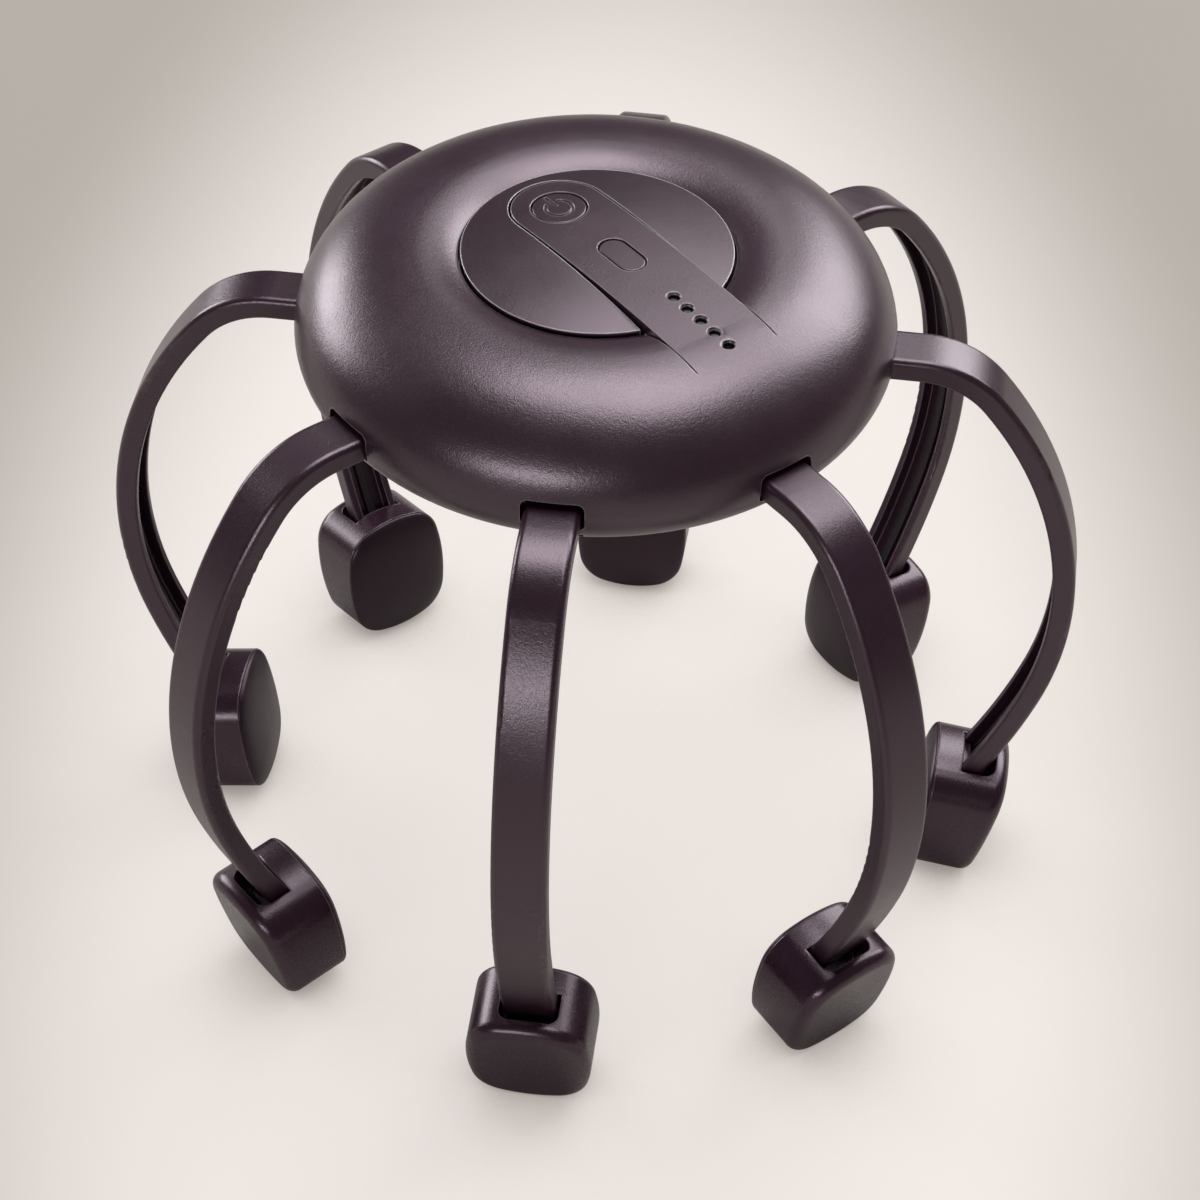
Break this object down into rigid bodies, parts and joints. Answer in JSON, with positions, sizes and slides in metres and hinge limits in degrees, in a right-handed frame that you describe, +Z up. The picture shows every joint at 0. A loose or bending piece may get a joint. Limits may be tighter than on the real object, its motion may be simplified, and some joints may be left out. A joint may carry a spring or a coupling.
{
  "type": "electric scalp massager",
  "caption": "Round puffy housing with a button strip on sprung curved arms that end in padded vibrating heads and hold a head between them.",
  "frame": {"origin": "on the surface the heads stand on, under the middle of the housing", "axes": "+Z up through the middle of the housing; the arms lie on the X and Y axes and halfway between; the control strip points between +X and -Y"},
  "size_m": [0.203, 0.203, 0.1571],
  "materials": {
    "housing_plastic": "soft-touch, fine grain",
    "disc_plastic": "satin",
    "button_plastic": "satin",
    "arm_plastic": "satin",
    "head_plastic": "satin",
    "pad_rubber": "matte silicone",
    "light_pipe": "smoked, clear",
    "board": "solder mask",
    "battery_wrap": "foil pouch",
    "port_metal": "plated shell",
    "spring_steel": "rolled",
    "screw_steel": "blackened",
    "lead": "matte",
    "motor_can": "drawn",
    "weight_metal": "sintered"
  },
  "bodies": {
    "housing": {"top_cover": "housing_plastic", "bottom_cover": "housing_plastic", "centre_disc": "disc_plastic", "circuit_board": "board", "indicator_lights": "light_pipe", "battery": "battery_wrap", "charging_port": "port_metal", "arm_spring": "spring_steel", "cover_screws": "screw_steel"},
    "power_button": {"power_button": "button_plastic"},
    "mode_button": {"mode_button": "button_plastic"},
    "arm_1": {"arm_1": "arm_plastic", "arm_lead_1": "lead", "head_shell_1": "head_plastic", "scalp_pad_1": "pad_rubber", "vibration_motor_1": "motor_can"},
    "motor_weight_1": {"motor_weight_1": "weight_metal"},
    "arm_2": {"arm_2": "arm_plastic", "arm_lead_2": "lead", "head_shell_2": "head_plastic", "scalp_pad_2": "pad_rubber", "vibration_motor_2": "motor_can"},
    "motor_weight_2": {"motor_weight_2": "weight_metal"},
    "arm_3": {"arm_3": "arm_plastic", "arm_lead_3": "lead", "head_shell_3": "head_plastic", "scalp_pad_3": "pad_rubber", "vibration_motor_3": "motor_can"},
    "motor_weight_3": {"motor_weight_3": "weight_metal"},
    "arm_4": {"arm_4": "arm_plastic", "arm_lead_4": "lead", "head_shell_4": "head_plastic", "scalp_pad_4": "pad_rubber", "vibration_motor_4": "motor_can"},
    "motor_weight_4": {"motor_weight_4": "weight_metal"},
    "arm_5": {"arm_5": "arm_plastic", "arm_lead_5": "lead", "head_shell_5": "head_plastic", "scalp_pad_5": "pad_rubber", "vibration_motor_5": "motor_can"},
    "motor_weight_5": {"motor_weight_5": "weight_metal"},
    "arm_6": {"arm_6": "arm_plastic", "arm_lead_6": "lead", "head_shell_6": "head_plastic", "scalp_pad_6": "pad_rubber", "vibration_motor_6": "motor_can"},
    "motor_weight_6": {"motor_weight_6": "weight_metal"},
    "arm_7": {"arm_7": "arm_plastic", "arm_lead_7": "lead", "head_shell_7": "head_plastic", "scalp_pad_7": "pad_rubber", "vibration_motor_7": "motor_can"},
    "motor_weight_7": {"motor_weight_7": "weight_metal"},
    "arm_8": {"arm_8": "arm_plastic", "arm_lead_8": "lead", "head_shell_8": "head_plastic", "scalp_pad_8": "pad_rubber", "vibration_motor_8": "motor_can"},
    "motor_weight_8": {"motor_weight_8": "weight_metal"}
  },
  "joints": [
    {"name": "power_button_press", "type": "slide", "parent": "housing", "child": "power_button", "axis": [0, 0, -1], "range_m": [0, 0.0005], "stiffness_N_per_m": 450, "springref_m": -0.0008},
    {"name": "mode_button_press", "type": "slide", "parent": "housing", "child": "mode_button", "axis": [0, 0, -1], "range_m": [0, 0.0005], "stiffness_N_per_m": 450, "springref_m": -0.0008},
    {"name": "arm_1_hinge", "type": "hinge", "parent": "housing", "child": "arm_1", "pos_m": [0, -0.0546, 0.13631], "axis": [-1, 0, 0], "range_deg": [0, 12], "stiffness_Nm_per_rad": 1.2, "springref_deg": -10.31, "deforming": ["arm_spring"]},
    {"name": "motor_1_spin", "type": "hinge", "parent": "arm_1", "child": "motor_weight_1", "pos_m": [0, -0.08161, 0.0106], "axis": [1, 0, 0], "continuous": true},
    {"name": "arm_2_hinge", "type": "hinge", "parent": "housing", "child": "arm_2", "pos_m": [0.03861, -0.03861, 0.13631], "axis": [-0.7071, -0.7071, 0], "range_deg": [0, 12], "stiffness_Nm_per_rad": 1.2, "springref_deg": -10.31, "deforming": ["arm_spring"]},
    {"name": "motor_2_spin", "type": "hinge", "parent": "arm_2", "child": "motor_weight_2", "pos_m": [0.0577, -0.0577, 0.0106], "axis": [0.7071, 0.7071, 0], "continuous": true},
    {"name": "arm_3_hinge", "type": "hinge", "parent": "housing", "child": "arm_3", "pos_m": [0.0546, 0, 0.13631], "axis": [0, -1, 0], "range_deg": [0, 12], "stiffness_Nm_per_rad": 1.2, "springref_deg": -10.31, "deforming": ["arm_spring"]},
    {"name": "motor_3_spin", "type": "hinge", "parent": "arm_3", "child": "motor_weight_3", "pos_m": [0.08161, 0, 0.0106], "axis": [0, 1, 0], "continuous": true},
    {"name": "arm_4_hinge", "type": "hinge", "parent": "housing", "child": "arm_4", "pos_m": [0.03861, 0.03861, 0.13631], "axis": [0.7071, -0.7071, 0], "range_deg": [0, 12], "stiffness_Nm_per_rad": 1.2, "springref_deg": -10.31, "deforming": ["arm_spring"]},
    {"name": "motor_4_spin", "type": "hinge", "parent": "arm_4", "child": "motor_weight_4", "pos_m": [0.0577, 0.0577, 0.0106], "axis": [-0.7071, 0.7071, 0], "continuous": true},
    {"name": "arm_5_hinge", "type": "hinge", "parent": "housing", "child": "arm_5", "pos_m": [0, 0.0546, 0.13631], "axis": [1, 0, 0], "range_deg": [0, 12], "stiffness_Nm_per_rad": 1.2, "springref_deg": -10.31, "deforming": ["arm_spring"]},
    {"name": "motor_5_spin", "type": "hinge", "parent": "arm_5", "child": "motor_weight_5", "pos_m": [0, 0.08161, 0.0106], "axis": [-1, 0, 0], "continuous": true},
    {"name": "arm_6_hinge", "type": "hinge", "parent": "housing", "child": "arm_6", "pos_m": [-0.03861, 0.03861, 0.13631], "axis": [0.7071, 0.7071, 0], "range_deg": [0, 12], "stiffness_Nm_per_rad": 1.2, "springref_deg": -10.31, "deforming": ["arm_spring"]},
    {"name": "motor_6_spin", "type": "hinge", "parent": "arm_6", "child": "motor_weight_6", "pos_m": [-0.0577, 0.0577, 0.0106], "axis": [-0.7071, -0.7071, 0], "continuous": true},
    {"name": "arm_7_hinge", "type": "hinge", "parent": "housing", "child": "arm_7", "pos_m": [-0.0546, 0, 0.13631], "axis": [0, 1, 0], "range_deg": [0, 12], "stiffness_Nm_per_rad": 1.2, "springref_deg": -10.31, "deforming": ["arm_spring"]},
    {"name": "motor_7_spin", "type": "hinge", "parent": "arm_7", "child": "motor_weight_7", "pos_m": [-0.08161, 0, 0.0106], "axis": [0, -1, 0], "continuous": true},
    {"name": "arm_8_hinge", "type": "hinge", "parent": "housing", "child": "arm_8", "pos_m": [-0.03861, -0.03861, 0.13631], "axis": [-0.7071, 0.7071, 0], "range_deg": [0, 12], "stiffness_Nm_per_rad": 1.2, "springref_deg": -10.31, "deforming": ["arm_spring"]},
    {"name": "motor_8_spin", "type": "hinge", "parent": "arm_8", "child": "motor_weight_8", "pos_m": [-0.0577, -0.0577, 0.0106], "axis": [0.7071, -0.7071, 0], "continuous": true}
  ]
}
